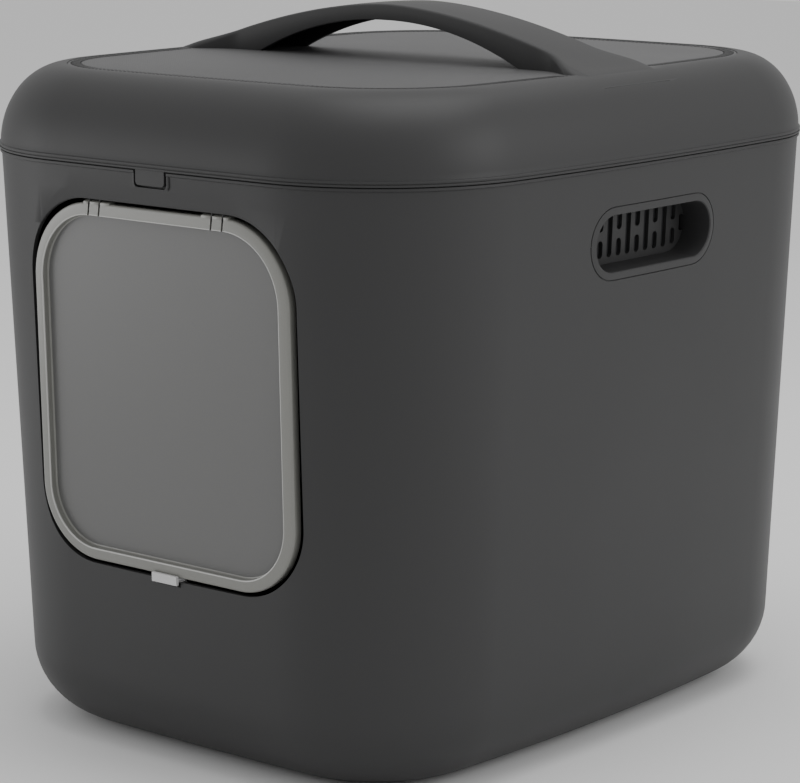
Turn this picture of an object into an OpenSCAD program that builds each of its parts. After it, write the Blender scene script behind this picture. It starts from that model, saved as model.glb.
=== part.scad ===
// Hooded litter box: a tall bow-sided tub, a hinged lid with an arched handle,
// a swinging front flap with a sliding lock, and two filtered grip recesses.
// Millimetres, +Z up. Origin: middle of the footprint, on the floor.
// The flap is on the front, which faces -Y.

/* [Body] */
// Width across the bead at the rim
rim_w = 400; // [380:1:420]
// Length across the bead at the rim
rim_l = 481.6; // [460:1:500]
// Height of the parting line between tub and lid
rim_z = 370.2; // [360:1:380]
// Plan radius of the four corners at the rim
corner_r = 108.4; // [100:1:114]
// How far each long side bows out at its middle
side_bow = 12.4; // [8:0.5:14]
// How far the front and the back bow out at their middle
end_bow = 4.7; // [3:0.5:6]
// Radius of the rounded edge round the floor
floor_r = 50; // [40:1:54]
// Wall thickness of the tub
wall = 3; // [2.6:0.1:3.2]

/* [Lid] */
// Height of the lid's flat top
top_z = 422.5; // [416:0.5:430]
// Half width of the top panel's opening
panel_hw = 164; // [158:1:166]
// Half length of the top panel's opening
panel_hl = 198.5; // [192:1:202]
// Wall thickness of the lid's shoulder
lid_wall = 3; // [2.6:0.1:3.4]
// How far below the lid's edge the panel lies
panel_drop = 0.4; // [0.2:0.1:1.2]

/* [Handle] */
// Height of the handle's crest
handle_top = 457.3; // [452:0.5:464]
// Height of the handle's underside at its middle
handle_under = 447.2; // [442:0.5:450]
// Half width of the handle's strap
handle_hw = 24.5; // [22:0.5:27]
// Half width of the handle where it meets the shoulder
foot_hw = 40; // [36:1:42]

/* [Flap] */
// Width of the flap
flap_w = 211; // [205:1:213]
// Height of the flap's top edge above its hinge axis
flap_up = 4.3; // [4:0.1:4.5]
// Length of the flap below its hinge axis
flap_down = 220.9; // [215:0.1:222]
// Width of the flap's raised border
border = 7.8; // [7.6:0.2:9]
// Depth of the flap's border
border_t = 7.6; // [7.4:0.1:7.8]
// Radius of the flap's upper corners
flap_rt = 50; // [46:1:54]
// Radius of the flap's lower corners
flap_rb = 45; // [40:1:48]
// Gap between the flap and its opening at the sides
flap_gap = 4.2; // [2:0.1:4.6]

/* [Grips] */
// Length of a grip recess at the wall's face
grip_l = 130.5; // [124:0.5:134]
// Height of a grip recess at the wall's face
grip_h = 44.5; // [42:0.5:48]
// Height of the grip recess's middle above the floor
grip_z = 323; // [318:1:328]
// Depth of the grip recess down to its grille
grip_d = 20.4; // [18:0.2:24]
// Spacing of the grille's slots
slot_pitch = 9.6; // [9.4:0.1:10]
// Width of the grille's slots
slot_w = 5.2; // [4.6:0.1:5.6]

/* [Hidden] */
$fn = 64;
eps = 0.02;

// Walls: inset from the bead and draft per millimetre of height
rim_set = 1.6;
side_draft = 0.042;
end_draft = 0.034;
corner_draft = 0.034;
// Points per quarter of a plan ring: side arc, corner arc, end arc
side_n = 3;
corner_n = 9;
end_n = 3;
quarter_n = side_n + corner_n + end_n;
// Rings in the rounded floor edge and in the lid's shoulder
floor_n = 8;
shoulder_n = 11;

// Shoulder: a quarter ellipse from the band up to the panel's edge
shoulder_z = rim_z + 0.6;
shoulder_h = top_z - shoulder_z;
side_in = rim_w / 2 - panel_hw;
end_in = rim_l / 2 - panel_hl;
panel_rc = 77.8;
band_z = rim_z + 4;
lip_t = 3;
flange_drop = 0.4;
flange_t = 2;

// Flap hinge: axis along X, and the door plane's lean
hinge_y = -233.5;
hinge_z = 342.5;
door_tilt = 1.5;
face_y = -4.1;
pane_front = 0.8;
pane_t = 2.4;
border_round = 1.6;
border_fall = 1;
ridge = 0.5;
plane_y = -3.3;
open_up = 6.4;
open_down = flap_down + 2.2;
surround = 9.5;
surround_up = flap_up + 11.2;
surround_down = flap_down + 8.1;
pin_r = 2;
clip_r = 3.5;
clip_t = 1.4;
clip_x = [46.4, 55.3];
clip_slot = 2;

// Flap lock
tab_hw = 10.4;
lock_travel = 12;
notch_hw = tab_hw + 1;
lock_low = flap_down + 4.3;

// Lid hinge
knuckle_x = 80;
knuckle_w = 30;
lug_t = 7;
lug_gap = 0.5;
axle_y = rim_l / 2 + 5.9;
axle_z = rim_z - 8.2;
axle_r = 3;
bore_r = 3.15;
lug_r = 7;
lug_in = 11.5;

// Grips and filters
bevel_d = 4.9;
bevel_in = 5.2;
pocket_l = grip_l - 2 * bevel_in;
pocket_h = grip_h - 2 * bevel_in + 0.8;
housing_t = 2.6;
grille_t = 2.5;
pad_t = 9;
cover_gap = 0.35;
cover_t = 2;
cover_lap = 7;
side_tilt = atan(side_draft);
grip_x = rim_w / 2 - rim_set - (rim_z - grip_z) * side_draft;

tub_color = [0.235, 0.235, 0.235];
lid_color = [0.255, 0.255, 0.255];
panel_color = [0.30, 0.30, 0.30];
flap_color = [0.56, 0.56, 0.54, 0.85];
clear_color = [0.85, 0.85, 0.85];
foam_color = [0.11, 0.11, 0.12];
cover_color = [0.22, 0.22, 0.22];

// ---- plan outline: four shallow arcs joined by four tangent corner arcs ----

// Radius of an arc of half chord l that rises by s
function bow_r(s, l) = (l * l + s * s) / (2 * s);

// One quarter of the outline, from the X axis round to the Y axis
function quarter(a, b, sb, eb, rc) =
    let (rs = bow_r(sb, b), re = bow_r(eb, a),
         xs = a - rs, ye = b - re,
         qs = rs - rc, qe = re - rc,
         d = norm([xs, ye]),
         h = (qs * qs - qe * qe + d * d) / (2 * d),
         k = sqrt(qs * qs - h * h),
         c = [xs - xs * h / d - ye * k / d, ye * h / d - xs * k / d],
         ts = atan2(c[1], c[0] - xs), te = atan2(c[1] - ye, c[0]))
    concat(
        [for (i = [0:side_n - 1])
            let (t = ts * i / side_n) [xs + rs * cos(t), rs * sin(t)]],
        [for (i = [0:corner_n - 1])
            let (t = ts + (te - ts) * i / corner_n) c + rc * [cos(t), sin(t)]],
        [for (i = [0:end_n])
            let (t = te + (90 - te) * i / end_n) [re * cos(t), ye + re * sin(t)]]
    );

// The whole outline, counter-clockwise from the +X side
function plan(a, b, sb, eb, rc) =
    let (q = quarter(a, b, sb, eb, rc))
    [for (k = [0:4 * quarter_n - 1])
        let (d = floor(k / quarter_n), i = k % quarter_n,
             m = d % 2 == 0 ? q[i] : q[quarter_n - i])
        [(d == 0 || d == 3 ? 1 : -1) * m[0], (d < 2 ? 1 : -1) * m[1]]];

function at_z(pts, z) = [for (p = pts) [p[0], p[1], z]];

// Tub ring: drafted from the rim down to height zd, inset by d, placed at z
function tub_ring(zd, d, z) =
    let (h = rim_z - zd)
    at_z(plan(rim_w / 2 - rim_set - h * side_draft - d,
              rim_l / 2 - rim_set - h * end_draft - d,
              side_bow, end_bow,
              corner_r - rim_set - h * corner_draft - d), z);

// Lid ring: t runs from 0 at the bead to 1 at the panel's edge
function lid_plan(t, d) =
    plan(rim_w / 2 - side_in * t - d, rim_l / 2 - end_in * t - d,
         side_bow - 3.1 * t, end_bow + 0.5 * t,
         corner_r + (panel_rc - corner_r) * t - d);
function lid_ring(t, d, z) = at_z(lid_plan(t, d), z);

// ---- lofts ----

// Side faces between ring i and ring j of n points
function band_faces(i, j, n) =
    [for (k = [0:n - 1], s = [0, 1])
        let (a = i * n + k, b = i * n + (k + 1) % n,
             c = j * n + (k + 1) % n, e = j * n + k)
        s == 0 ? [a, c, b] : [a, e, c]];

// Skin over a stack of rings, closed at each end by flat caps. A cap is a
// list of polygons of ring indices; one polygon of them all by default.
module loft(rings, caps = undef) {
    n = len(rings[0]);
    m = len(rings);
    lids = is_undef(caps) ? [[for (k = [0:n - 1]) k]] : caps;
    polyhedron(
        points = [for (r = rings, p = r) p],
        faces = concat(
            lids,
            [for (i = [0:m - 2]) each band_faces(i, i + 1, n)],
            [for (c = lids)
                [for (k = [len(c) - 1:-1:0]) (m - 1) * n + c[k]]]),
        convexity = 8);
}

// Skin over a ring of rings: the last one joins the first
module loft_round(rings) {
    n = len(rings[0]);
    m = len(rings);
    polyhedron(
        points = [for (r = rings, p = r) p],
        faces = [for (i = [0:m - 1]) each band_faces(i, (i + 1) % m, n)],
        convexity = 8);
}

// ---- flat shapes ----

// Slot with round ends, l long and h high
module stadium(l, h) {
    square([l - h, h], center = true);
    for (s = [-1, 1])
        translate([s * (l - h) / 2, 0])
            circle(d = h);
}

// Rounded rectangle from y0 up to y1, w wide, radii rb below and rt above
module rounded(w, y0, y1, rb, rt) {
    translate([-w / 2 + rb, y0])
        square([w - 2 * rb, y1 - y0]);
    translate([-w / 2, y0 + rb])
        square([w, y1 - y0 - rb - rt]);
    translate([-w / 2 + rt, y0 + rb])
        square([w - 2 * rt, y1 - y0 - rb]);
    for (s = [-1, 1]) {
        translate([s * (w / 2 - rb), y0 + rb])
            circle(r = rb);
        translate([s * (w / 2 - rt), y1 - rt])
            circle(r = rt);
    }
}

// ---- local frames ----

// Door: X across, Y up from the hinge axis, Z out of the box
module door_frame() {
    translate([0, hinge_y, hinge_z])
        rotate([door_tilt, 0, 0])
            rotate([90, 0, 0])
                children();
}

// Grip on the +X wall: X along the box, Y up, Z out of the wall
module grip_frame() {
    translate([grip_x, 0, grip_z])
        rotate([0, side_tilt, 0])
            rotate([90, 0, 90])
                children();
}

module both_sides() {
    children();
    mirror([1, 0, 0])
        children();
}

// Bar along X between x0 and x1
module bar_x(r, x0, x1) {
    translate([x0, 0, 0])
        rotate([0, 90, 0])
            cylinder(r = r, h = x1 - x0);
}

// ---- tub ----

// Outer skin, over the rim and down the inner skin to the floor
module tub_shell() {
    loft(concat(
        [for (i = [0:floor_n])
            let (t = 90 - 90 * i / floor_n)
            tub_ring(floor_r, floor_r * (1 - cos(t)), floor_r * (1 - sin(t)))],
        [tub_ring(rim_z, 0, rim_z - 2.4),
         tub_ring(rim_z, -1.1, rim_z - 1.9),
         tub_ring(rim_z, -1.1, rim_z - 0.5),
         tub_ring(rim_z, -0.6, rim_z),
         tub_ring(rim_z, wall, rim_z)],
        [for (i = [0:floor_n])
            let (t = 90 * i / floor_n, r = floor_r - wall)
            tub_ring(floor_r, wall + r * (1 - cos(t)), floor_r - r * sin(t))]));
}

// Cuts in the front wall: shallow surround, door opening, notch in the sill
module door_cuts() {
    door_frame() {
        translate([0, 0, -plane_y])
            linear_extrude(12)
                rounded(flap_w + 2 * surround, -surround_down, surround_up,
                        flap_rb + surround, flap_rt + surround);
        translate([0, 0, -14])
            linear_extrude(30)
                rounded(flap_w + 2 * flap_gap, -open_down, open_up,
                        flap_rb + 2.6, flap_rt + 1);
        translate([-notch_hw, -lock_low - 1.4, -14])
            cube([2 * notch_hw, 10, 30]);
    }
}

// Open clip that holds the flap's hinge bar, hanging from the wall inside
module flap_clip(x) {
    translate([x - clip_t / 2, hinge_y, hinge_z])
        difference() {
            union() {
                bar_x(clip_r, 0, clip_t);
                translate([0, -2.2, 0])
                    cube([clip_t, 4.4, 12]);
                translate([0, -3, open_up + 0.8])
                    cube([clip_t, 9, 9]);
            }
            bar_x(pin_r + 0.15, -1, clip_t + 1);
            translate([-1, 0, -1.7])
                rotate([-20, 0, 0])
                    cube([clip_t + 2, 8, 3.4]);
        }
}

// Pocket in the rim for the lid's front tab, with a raised edge round it
pocket_hw = 13.4;
pocket_low = rim_z - 10.3;
module latch_shape(w) {
    rounded(2 * (pocket_hw + w), pocket_low - w, rim_z + 12, 3 + w, 1);
}
module front_frame(y) {
    translate([0, y, 0])
        rotate([90, 0, 0])
            children();
}
module latch_boss() {
    front_frame(-232.4)
        linear_extrude(5.4)
            translate([-18, pocket_low - 5])
                square([36, rim_z - pocket_low + 3.5]);
    front_frame(-237.5)
        linear_extrude(2.3)
            intersection() {
                latch_shape(1.3);
                translate([-20, 0])
                    square([40, rim_z - 0.3]);
            }
}
module latch_cut() {
    front_frame(-236.2)
        linear_extrude(8)
            latch_shape(0);
}

// Grip recess: collar and tube with a slotted back wall
function pocket_half(u) =
    let (c = pocket_l / 2 - pocket_h / 2, r = pocket_h / 2)
    abs(u) <= c ? r : sqrt(max(r * r - (abs(u) - c) * (abs(u) - c), 0));
module grille_slots() {
    translate([0, 0, -grip_d - grille_t - 1])
        linear_extrude(grille_t + 2)
            for (i = [-6:6])
                let (u = i * slot_pitch,
                     h = 2 * pocket_half(u) - 7.5)
                    translate([u, 0])
                        if (i % 2 == 0)
                            rotate(90)
                                stadium(h, slot_w);
                        else
                            for (s = [-1, 1])
                                translate([0, s * (h + 5) / 4])
                                    rotate(90)
                                        stadium((h - 5) / 2, slot_w);
}
module grip_housing() {
    grip_frame()
        difference() {
            union() {
                translate([0, 0, -11])
                    linear_extrude(9.5)
                        stadium(pocket_l + 15, pocket_h + 15);
                translate([0, 0, -grip_d - grille_t])
                    linear_extrude(grip_d)
                        stadium(pocket_l + 2 * housing_t,
                                pocket_h + 2 * housing_t);
            }
            grip_cuts();
            grille_slots();
        }
}
// Recess with a bevelled mouth: two cones and a wedge-sided bar between them
module grip_cuts() {
    translate([0, 0, -grip_d])
        linear_extrude(grip_d + 6)
            stadium(pocket_l, pocket_h);
    c = (pocket_l - pocket_h) / 2;
    r0 = pocket_h / 2;
    g = bevel_in / bevel_d;
    for (s = [-1, 1])
        translate([s * c, 0, -bevel_d])
            cylinder(r1 = r0, r2 = r0 + g * 8, h = 8);
    translate([-c, 0, -bevel_d])
        rotate([90, 0, 90])
            linear_extrude(2 * c)
                polygon([[-r0, 0], [r0, 0], [r0 + g * 8, 8], [-r0 - g * 8, 8]]);
}

// Rear lugs for the lid's hinge, one pair on each side
module lug_pair() {
    for (s = [0, 1])
        translate([knuckle_x + (s == 0 ? -1 : 1) * (knuckle_w / 2 + lug_gap)
                   - (s == 0 ? lug_t : 0), axle_y, axle_z])
            difference() {
                union() {
                    bar_x(lug_r, 0, lug_t);
                    translate([0, -lug_in, -lug_r])
                        cube([lug_t, lug_in, 2 * lug_r]);
                    translate([0, -lug_in, -24])
                        linear_extrude_x(lug_t)
                            polygon([[0, 0], [2.9, 0], [10.5, 18], [0, 18]]);
                }
                bar_x(bore_r, -1, lug_t + 1);
            }
}
// Extrude a (Y, Z) profile along X
module linear_extrude_x(h) {
    rotate([90, 0, 90])
        linear_extrude(h)
            children();
}

module tub() {
    color(tub_color) {
        difference() {
            union() {
                tub_shell();
                latch_boss();
            }
            door_cuts();
            latch_cut();
            both_sides()
                grip_frame()
                    grip_cuts();
        }
        both_sides() {
            grip_housing();
            lug_pair();
            for (x = clip_x)
                flap_clip(x);
        }
    }
}

// ---- lid ----

// Shoulder: out over the band, up to the panel's edge, back down inside
module lid_shell() {
    loft_round(concat(
        [lid_ring(0, 0.4, rim_z + 0.5),
         lid_ring(0, 0, rim_z + 1),
         lid_ring(0, 0, rim_z + 1.8),
         lid_ring(0, 0.7, rim_z + 2.1),
         lid_ring(0, 0.7, rim_z + 2.5),
         lid_ring(0, 0, rim_z + 2.8),
         lid_ring(0, 0.1, band_z),
         lid_ring(0, 1, band_z + 0.2)],
        [for (i = [0:shoulder_n])
            let (t0 = asin((band_z + 1.5 - shoulder_z) / shoulder_h),
                 t = t0 + (90 - t0) * i / shoulder_n)
            lid_ring(1 - cos(t), 1 - i / shoulder_n,
                     shoulder_z + shoulder_h * sin(t))],
        [lid_ring(1, 0.9, top_z),
         lid_ring(1, 1, top_z - lip_t)],
        [for (i = [0:shoulder_n - 4])
            let (t0 = asin((rim_z + 9 - shoulder_z) / (shoulder_h - lip_t)),
                 t = 84 + (t0 - 84) * i / (shoulder_n - 4))
            lid_ring(0.94 * (1 - cos(t)), lid_wall,
                     shoulder_z + (shoulder_h - lip_t) * sin(t))],
        [lid_ring(0, 7.6, rim_z + 4),
         lid_ring(0, 7.6, rim_z - 6),
         lid_ring(0, 5.8, rim_z - 6),
         lid_ring(0, 5.8, rim_z),
         lid_ring(0, 2.3, rim_z),
         lid_ring(0, 2.3, rim_z + 0.5)]));
}

// Crest and underside of the handle at x; the crest dives into the shoulder
function ease(t) = let (u = min(max(t, 0), 1)) u * u * (3 - 2 * u);
function crest(x) =
    handle_top - (handle_top - 423.9) * pow(abs(x) / 160, 1.74)
    - 6 * ease((abs(x) - 171) / 6);
function handle_w(x) =
    handle_hw + (foot_hw - handle_hw) * pow(ease((abs(x) - 125) / 35), 1.3);
function under(x) =
    max(handle_under - 57.7 * pow(abs(x) / 160, 2.11), top_z - lip_t - 3);

// Inverted channel at x: rounded crest outside, square channel inside
function handle_ring(x) =
    let (w = handle_w(x), z = crest(x), b = min(under(x), z - 6.5),
         flare = ease((abs(x) - 120) / 45),
         rh = 6 + 16 * flare, rv = min(5 + 6 * flare, z - b - 1),
         t = 3.4, iw = w - t - 0.6 * rh * flare, iz = max(z - t, b + 0.6),
         out = concat([[w, b]],
             [for (i = [0:5]) let (u = 90 * i / 5)
                 [w - rh * (1 - cos(u)), z - rv * (1 - sin(u))]],
             [[(w - rh) / 2, z + 0.45 * (1 - flare)]]),
         inn = [[iw, b], [iw, (iz + b) / 2 + 0.1], [iw - 2.5, iz]])
    [for (p = concat(
        out, [for (i = [len(out) - 1:-1:0]) [-out[i][0], out[i][1]]],
        [for (p = inn) [-p[0], p[1]]], [for (i = [2:-1:0]) inn[i]]))
        [x, p[0], p[1]]];
// The channel's end, cut into polygons that each fan from their first point
channel_caps = [[0, 1, 20, 21], [19, 20, 1, 2, 3, 4, 5, 6, 7],
                [18, 19, 7, 8], [18, 8, 9, 10, 11, 12, 13, 14, 17],
                [15, 16, 17, 14]];
handle_end = 177;
handle_steps = 36;
spread = 72;
module handle() {
    loft([for (i = [0:handle_steps])
        let (u = 2 * i / handle_steps - 1)
        handle_ring(handle_end * sin(spread * u) / sin(spread))],
        channel_caps);
}

// Hinge knuckle on the lid's rear edge
module knuckle() {
    translate([knuckle_x - knuckle_w / 2, axle_y, axle_z])
        difference() {
            union() {
                bar_x(lug_r, 0, knuckle_w);
                translate([0, -5.1, 0])
                    cube([knuckle_w, 9, 12]);
                translate([0, -10, rim_z - axle_z + 0.8])
                    cube([knuckle_w, 12, 3]);
            }
            bar_x(bore_r, -1, knuckle_w + 1);
        }
}
module front_tab() {
    front_frame(-237.9)
        linear_extrude(2.6)
            intersection() {
                rounded(2 * 11.8, rim_z - 8.8, rim_z + 12, 2.6, 1);
                translate([-20, 0])
                    square([40, rim_z + 2]);
            }
}

module lid() {
    color(lid_color) {
        difference() {
            lid_shell();
            translate([-19, -236.6, rim_z - 7])
                cube([38, 6, 7]);
            translate([-190, 196, rim_z - 7])
                cube([380, 40, 7]);
        }
        handle();
        front_tab();
        both_sides()
            knuckle();
    }
}

// ---- top panel ----

// Footprint of a handle foot with a clearance all round it
foot_x = 106.5;
foot_gap = 0.5;
function foot_side() =
    concat([[foot_x, handle_hw + foot_gap]],
           [for (i = [0:16]) let (x = 118 + i * 3)
               [x, handle_w(x) + foot_gap]],
           [[190, foot_hw + foot_gap]]);
module foot_print() {
    side = foot_side();
    n = len(side) - 1;
    polygon(concat([for (i = [n:-1:0]) [side[i][0], -side[i][1]]], side));
}
module panel_outline(gap) {
    difference() {
        polygon(lid_plan(1, gap));
        both_sides()
            foot_print();
    }
}
// Plate that shows, over a wider flange that catches under the lid's edge
module top_panel() {
    color(panel_color) {
        translate([0, 0, top_z - lip_t - flange_drop])
            linear_extrude(lip_t + flange_drop - panel_drop)
                panel_outline(1.5);
        translate([0, 0, top_z - lip_t - flange_drop - flange_t])
            linear_extrude(flange_t)
                panel_outline(-2.5);
    }
}

// ---- flap ----

// Border section: outer edge at distance r, a ridge on the inner edge and a
// face that falls away to a rounded outer edge
module border_section(r) {
    front = -face_y;
    edge = front - border_fall;
    polygon(concat(
        [[r - border, front - border_t], [r, front - border_t]],
        [for (i = [0:4])
            let (u = 22.5 * i)
            [r - border_round * (1 - cos(u)), edge - border_round * (1 - sin(u))]],
        [[r - border + ridge, front], [r - border, front - ridge]]));
}
module border_corner(x, y, r, start) {
    translate([x, y, 0])
        rotate([0, 0, start])
            rotate_extrude(angle = 90)
                border_section(r);
}
// Straight run of the border: section at distance r, from 0 to l along +Y
module border_run(r, l) {
    rotate([90, 0, 180])
        linear_extrude(l)
            mirror([1, 0])
                border_section(r);
}
module flap_border() {
    hw = flap_w / 2;
    xt = hw - flap_rt;
    xb = hw - flap_rb;
    yt = flap_up - flap_rt;
    yb = -flap_down + flap_rb;
    border_corner(xt, yt, flap_rt, 0);
    border_corner(-xt, yt, flap_rt, 90);
    border_corner(-xb, yb, flap_rb, 180);
    border_corner(xb, yb, flap_rb, 270);
    translate([0, yb, 0])
        border_run(hw, yt - yb);
    mirror([1, 0, 0])
        translate([0, yb, 0])
            border_run(hw, yt - yb);
    rotate([0, 0, 90])
        translate([0, -xt, 0])
            border_run(flap_up, 2 * xt);
    rotate([0, 0, -90])
        translate([0, -xb, 0])
            border_run(flap_down, 2 * xb);
}
module flap_pane() {
    b = border - 1.2;
    translate([0, 0, -pane_front - pane_t])
        linear_extrude(pane_t)
            rounded(flap_w - 2 * b, -flap_down + b, flap_up - b,
                    flap_rb - b, flap_rt - b);
}
// Round boss that carries the hinge bar, cut off flush behind the face
module flap_lobe() {
    intersection() {
        bar_x(5.6, 38, 60);
        translate([30, -10, -10])
            cube([40, 20, 13]);
    }
}
// T-slot in the lower border for the lock
module lock_slot() {
    translate([-tab_hw + 1.2, -flap_down - 1, -1.6])
        cube([2 * tab_hw - 2.4 + lock_travel + 0.6, 4.2, 2.6]);
    translate([-tab_hw - 1.6, -flap_down + 2.6, -2.6])
        cube([2 * tab_hw + 3.2 + lock_travel, 3.2, 4.6]);
}

module door_flap() {
    color(flap_color)
        door_frame() {
            difference() {
                union() {
                    flap_border();
                    flap_pane();
                    both_sides()
                        flap_lobe();
                }
                both_sides()
                    for (x = clip_x)
                        translate([x - clip_slot / 2, -clip_r - 0.7, -10])
                            cube([clip_slot, 20, 20]);
                lock_slot();
            }
            both_sides()
                bar_x(pin_r, clip_x[0] - 3, clip_x[1] + 3);
        }
}

// ---- flap lock ----

module flap_lock() {
    color(clear_color)
        door_frame() {
            // head and neck that run in the slot
            translate([-tab_hw - 1.2, -flap_down + 2.9, -2.3])
                cube([2 * tab_hw + 2.4, 2.6, 4]);
            translate([-tab_hw + 1.5, -flap_down - 0.6, -1.3])
                cube([2 * tab_hw - 3, 3.8, 2]);
            // bridge over the sill, front plate and rear finger
            translate([-tab_hw, -flap_down - 1.2, -3.6])
                cube([2 * tab_hw, 0.9, 9.2]);
            translate([-tab_hw, -lock_low, 3.6])
                cube([2 * tab_hw, lock_low - flap_down + 1.4, 2]);
            translate([-tab_hw, -lock_low, -3.6])
                cube([2 * tab_hw, lock_low - flap_down - 0.3, 1.8]);
        }
}

// ---- filters ----

// Foam pad behind the grille
module filter_pad() {
    grip_frame()
        translate([0, 0, -grip_d - grille_t - pad_t])
            linear_extrude(pad_t)
                stadium(pocket_l - 2, pocket_h - 2);
}

// Slotted cup that slips over the recess from inside and holds the pad
module filter_cover() {
    ol = pocket_l + 2 * (housing_t + cover_gap + cover_t);
    oh = pocket_h + 2 * (housing_t + cover_gap + cover_t);
    zf = -grip_d - grille_t - pad_t;
    grip_frame()
        difference() {
            union() {
                translate([0, 0, zf - cover_t])
                    linear_extrude(pad_t + cover_t + cover_lap)
                        stadium(ol, oh);
                translate([0, -oh / 2 - 3, zf - cover_t])
                    linear_extrude(3)
                        square([30, 8], center = true);
            }
            translate([0, 0, zf])
                linear_extrude(pad_t + cover_lap + 1)
                    stadium(ol - 2 * cover_t, oh - 2 * cover_t);
            translate([0, 0, zf - cover_t - 1])
                linear_extrude(cover_t + 2)
                    for (i = [-5:5])
                        translate([i * 10, 0])
                            rotate(90)
                                stadium(24, 5);
        }
}

module filter_cover_right() {
    color(cover_color)
        filter_cover();
}
module filter_cover_left() {
    color(cover_color)
        mirror([1, 0, 0])
            filter_cover();
}
module filter_pad_right() {
    color(foam_color)
        filter_pad();
}
module filter_pad_left() {
    color(foam_color)
        mirror([1, 0, 0])
            filter_pad();
}

// ---- lid hinge pins ----

module lid_pin() {
    half = knuckle_w / 2 + lug_gap + lug_t;
    translate([knuckle_x, axle_y, axle_z]) {
        bar_x(axle_r, -half - 1, half + 0.2);
        bar_x(5, half + 0.2, half + 2.6);
    }
}
module lid_pin_right() {
    color(cover_color)
        lid_pin();
}
module lid_pin_left() {
    color(cover_color)
        mirror([1, 0, 0])
            lid_pin();
}

tub();
lid();
top_panel();
door_flap();
flap_lock();
filter_cover_right();
filter_cover_left();
filter_pad_right();
filter_pad_left();
lid_pin_right();
lid_pin_left();
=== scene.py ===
from math import asin, atan, atan2, cos, hypot, pi, radians, sin, sqrt

import bmesh
import bpy
from mathutils import Matrix, Vector


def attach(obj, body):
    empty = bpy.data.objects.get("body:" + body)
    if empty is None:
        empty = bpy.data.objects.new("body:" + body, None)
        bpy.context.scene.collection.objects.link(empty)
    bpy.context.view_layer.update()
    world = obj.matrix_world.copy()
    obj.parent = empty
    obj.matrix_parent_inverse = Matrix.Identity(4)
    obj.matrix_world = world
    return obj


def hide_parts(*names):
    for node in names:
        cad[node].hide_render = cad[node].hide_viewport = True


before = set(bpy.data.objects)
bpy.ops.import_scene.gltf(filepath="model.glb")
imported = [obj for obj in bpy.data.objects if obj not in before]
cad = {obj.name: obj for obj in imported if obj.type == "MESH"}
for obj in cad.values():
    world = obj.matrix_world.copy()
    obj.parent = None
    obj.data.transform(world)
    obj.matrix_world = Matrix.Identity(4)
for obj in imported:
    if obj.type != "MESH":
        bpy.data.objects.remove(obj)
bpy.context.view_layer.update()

# ---------------------------------------------------------------- tub
# The tub is one deep injection moulding in anthracite polypropylene with a
# satin grain. Its walls bow and taper, the rim turns out into a small lip,
# and the door opening, grip recesses and catch pocket are moulded in.
MM = 0.001
RIM_W, RIM_L, RIM_Z = 400.0, 481.6, 370.2
CORNER_R, SIDE_BOW, END_BOW = 108.4, 12.4, 4.7
FLOOR_R, WALL = 50.0, 3.0
RIM_SET, SIDE_DRAFT, END_DRAFT = 1.6, 0.042, 0.034
HINGE_Y, HINGE_Z, DOOR_TILT = -233.5, 342.5, 1.5
FLAP_W, FLAP_UP, FLAP_DOWN, FLAP_RT, FLAP_RB = 211.0, 4.3, 220.9, 50.0, 45.0
CLIP_X = (46.4, 55.3)
OPEN_GAP, OPEN_UP, SILL_GAP, SURROUND = 4.2, 6.4, 2.2, 6.0
GRIP_Z, GRIP_D, POCKET_L, POCKET_H = 323.0, 20.4, 120.1, 34.9
SLOT_PITCH, SLOT_COUNT, BEZEL = 9.6, 13, 9.6
PIN_Y, PIN_Z, PIN_BORE, KNUCKLE_R = 246.7, 362.0, 3.15, 7


def bow_radius(rise, half):
    return (half * half + rise * rise) / (2 * rise)


def outline(a, b, side_bow, end_bow, rc, steps=(8, 20, 8)):
    """Four shallow arcs joined by tangent corner arcs, counter-clockwise."""
    rs, re = bow_radius(side_bow, b), bow_radius(end_bow, a)
    xs, ye, qs, qe = a - rs, b - re, bow_radius(side_bow, b) - rc, bow_radius(end_bow, a) - rc
    d = hypot(xs, ye)
    h = (qs * qs - qe * qe + d * d) / (2 * d)
    k = sqrt(qs * qs - h * h)
    cx, cy = xs - xs * h / d - ye * k / d, ye * h / d - xs * k / d
    ts, te = atan2(cy, cx - xs), atan2(cy - ye, cx)
    n, m, e = steps
    q = [(xs + rs * cos(ts * i / n), rs * sin(ts * i / n)) for i in range(n)]
    q += [(cx + rc * cos(ts + (te - ts) * i / m), cy + rc * sin(ts + (te - ts) * i / m))
          for i in range(m)]
    q += [(re * cos(te + (pi / 2 - te) * i / e), ye + re * sin(te + (pi / 2 - te) * i / e))
          for i in range(e + 1)]
    last = len(q) - 1
    turn = [(x, y) for x, y in q[:last]]
    turn += [(-x, y) for x, y in q[:0:-1]]
    turn += [(-x, -y) for x, y in q[:last]]
    turn += [(x, -y) for x, y in q[:0:-1]]
    return turn


def tub_ring(drafted_z, inset, z):
    h = RIM_Z - drafted_z
    flat = outline(RIM_W / 2 - RIM_SET - h * SIDE_DRAFT - inset,
                   RIM_L / 2 - RIM_SET - h * END_DRAFT - inset, SIDE_BOW, END_BOW,
                   CORNER_R - RIM_SET - h * END_DRAFT - inset)
    return [(x, y, z) for x, y in flat]


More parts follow.
